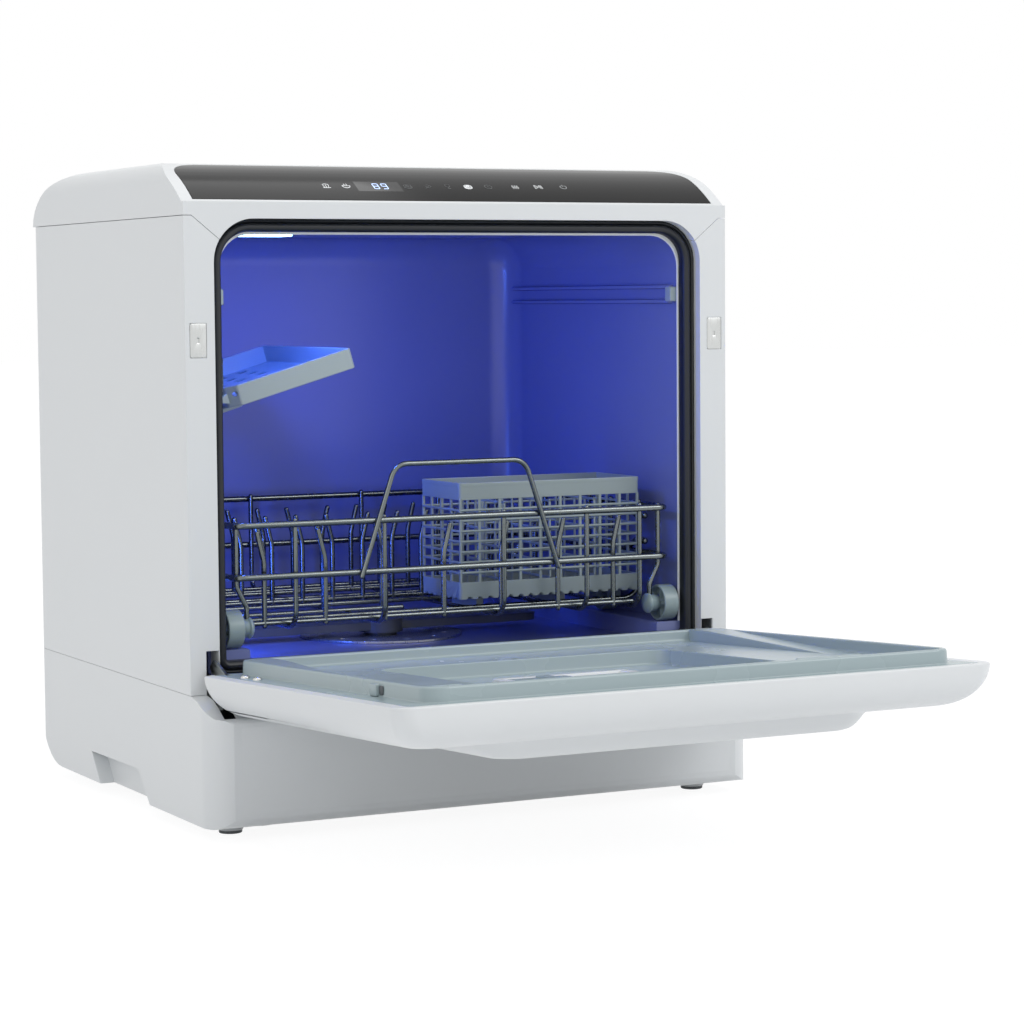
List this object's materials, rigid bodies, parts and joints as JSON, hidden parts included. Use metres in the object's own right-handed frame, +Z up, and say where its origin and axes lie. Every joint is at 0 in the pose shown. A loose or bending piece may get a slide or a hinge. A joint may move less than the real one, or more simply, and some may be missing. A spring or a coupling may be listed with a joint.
{
  "type": "countertop dishwasher",
  "caption": "Countertop dishwasher with a drop-down front door, a wheeled pull-out wire rack with fold-up cup shelf and cutlery basket, and a curved black control panel.",
  "frame": {"origin": "on the worktop, at the centre of the footprint of the whole machine with its door open", "axes": "+Z up, -Y towards the person in front of the door, +X to their right"},
  "size_m": [0.43, 0.7144, 0.466],
  "materials": {
    "shell": "satin white moulding",
    "cover": "gloss white moulding",
    "glass": "gloss black panel",
    "board": "green circuit board",
    "rear": "matt light grey",
    "tub": "smooth grey-blue",
    "gasket": "soft black",
    "plate": "brushed",
    "lamp": "clear frosted",
    "grey": "matt grey",
    "light_grey": "satin light grey-blue",
    "dark": "matt dark grey",
    "steel": "plain",
    "hose": "soft",
    "tank": "translucent natural",
    "white": "white",
    "wire": "grey coated wire",
    "liner": "satin grey-blue",
    "feet": "matt grey"
  },
  "bodies": {
    "cabinet": {"base_shell": "shell", "side_panel_left": "shell", "side_panel_right": "shell", "top_cover": "cover", "control_glass": "glass", "control_board": "board", "rear_cover": "rear", "tub": "tub", "tub_gasket": "gasket", "catch_plates": "plate", "cavity_lamp": "lamp", "rack_stops": "grey", "sump": "dark", "spray_bearing": "grey", "wash_pump": "dark", "drain_pump": "dark", "heater": "steel", "hoses": "hose", "water_tank": "tank", "fill_funnel": "tank", "lid_pin": "steel", "fan_housing": "dark", "inlet_valve": "white", "drain_spigot": "grey", "power_inlet": "dark", "feet": "feet", "hinge_brackets": "steel", "hinge_springs": "steel", "cabinet_screws": "steel"},
    "door": {"door_shell": "shell", "door_liner": "liner", "hinge_arms": "steel", "door_screws": "steel", "detergent_cup": "white", "catch_tabs": "plate"},
    "rack": {"rack_rails": "wire", "rack_cross_wires": "wire", "rack_long_wires": "wire", "rack_arms": "wire", "rack_tines": "wire", "rack_handle": "wire", "rack_posts": "wire", "wheel_hubs": "light_grey"},
    "filter": {"filter": "light_grey"},
    "spray_arm": {"spray_arm": "grey"},
    "impeller": {"pump_impeller": "white"},
    "rotor": {"fan_rotor": "dark"},
    "fill_lid": {"fill_lid": "cover"},
    "detergent_lid": {"detergent_lid": "grey"},
    "cup_shelf": {"cup_shelf": "light_grey"},
    "cutlery_basket": {"cutlery_basket": "light_grey"},
    "wheel_left_1": {"wheel_left_1": "light_grey"},
    "wheel_left_2": {"wheel_left_2": "light_grey"},
    "wheel_left_3": {"wheel_left_3": "light_grey"},
    "wheel_right_1": {"wheel_right_1": "light_grey"},
    "wheel_right_2": {"wheel_right_2": "light_grey"},
    "wheel_right_3": {"wheel_right_3": "light_grey"}
  },
  "joints": [
    {"name": "door_hinge", "type": "hinge", "parent": "cabinet", "child": "door", "pos_m": [0, -0.03179, 0.1015], "axis": [1, 0, 0], "range_deg": [-87, 0]},
    {"name": "rack_slide", "type": "slide", "parent": "cabinet", "child": "rack", "axis": [0, -1, 0], "range_m": [0, 0.2]},
    {"name": "shelf_fold", "type": "hinge", "parent": "rack", "child": "cup_shelf", "pos_m": [-0.1735, 0.10321, 0.2989], "axis": [0, -1, 0], "range_deg": [0, 45]},
    {"name": "basket_lift", "type": "slide", "parent": "rack", "child": "cutlery_basket", "axis": [0, 0, 1], "range_m": [0, 0.1]},
    {"name": "detergent_lid_slide", "type": "slide", "parent": "door", "child": "detergent_lid", "axis": [1, 0, 0], "range_m": [0, 0.038]},
    {"name": "fill_lid_hinge", "type": "hinge", "parent": "cabinet", "child": "fill_lid", "pos_m": [-0.118, 0.20221, 0.462], "axis": [-1, 0, 0], "range_deg": [0, 90]},
    {"name": "spray_arm_spin", "type": "hinge", "parent": "cabinet", "child": "spray_arm", "pos_m": [0, 0.13971, 0.112], "axis": [0, 0, 1], "continuous": true},
    {"name": "filter_twist", "type": "hinge", "parent": "cabinet", "child": "filter", "pos_m": [0, 0.13971, 0.112], "axis": [0, 0, 1], "range_deg": [0, 40]},
    {"name": "impeller_spin", "type": "hinge", "parent": "cabinet", "child": "impeller", "pos_m": [-0.118, 0.13321, 0.0455], "axis": [0, 1, 0], "continuous": true},
    {"name": "rotor_spin", "type": "hinge", "parent": "cabinet", "child": "rotor", "pos_m": [0.12, 0.28921, 0.27], "axis": [0, 1, 0], "continuous": true},
    {"name": "wheel_left_1_roll", "type": "hinge", "parent": "rack", "child": "wheel_left_1", "pos_m": [-0.175, 0.00821, 0.1395], "axis": [1, 0, 0], "continuous": true},
    {"name": "wheel_left_2_roll", "type": "hinge", "parent": "rack", "child": "wheel_left_2", "pos_m": [-0.175, 0.09821, 0.1395], "axis": [1, 0, 0], "continuous": true},
    {"name": "wheel_left_3_roll", "type": "hinge", "parent": "rack", "child": "wheel_left_3", "pos_m": [-0.175, 0.23521, 0.1395], "axis": [1, 0, 0], "continuous": true},
    {"name": "wheel_right_1_roll", "type": "hinge", "parent": "rack", "child": "wheel_right_1", "pos_m": [0.175, 0.00821, 0.1395], "axis": [1, 0, 0], "continuous": true},
    {"name": "wheel_right_2_roll", "type": "hinge", "parent": "rack", "child": "wheel_right_2", "pos_m": [0.175, 0.09821, 0.1395], "axis": [1, 0, 0], "continuous": true},
    {"name": "wheel_right_3_roll", "type": "hinge", "parent": "rack", "child": "wheel_right_3", "pos_m": [0.175, 0.23521, 0.1395], "axis": [1, 0, 0], "continuous": true}
  ],
  "couplings": [
    {"joint": "wheel_left_1_roll", "follows": "rack_slide", "rad_per_m": 74.074},
    {"joint": "wheel_left_2_roll", "follows": "rack_slide", "rad_per_m": 74.074},
    {"joint": "wheel_left_3_roll", "follows": "rack_slide", "rad_per_m": 74.074},
    {"joint": "wheel_right_1_roll", "follows": "rack_slide", "rad_per_m": 74.074},
    {"joint": "wheel_right_2_roll", "follows": "rack_slide", "rad_per_m": 74.074},
    {"joint": "wheel_right_3_roll", "follows": "rack_slide", "rad_per_m": 74.074}
  ]
}
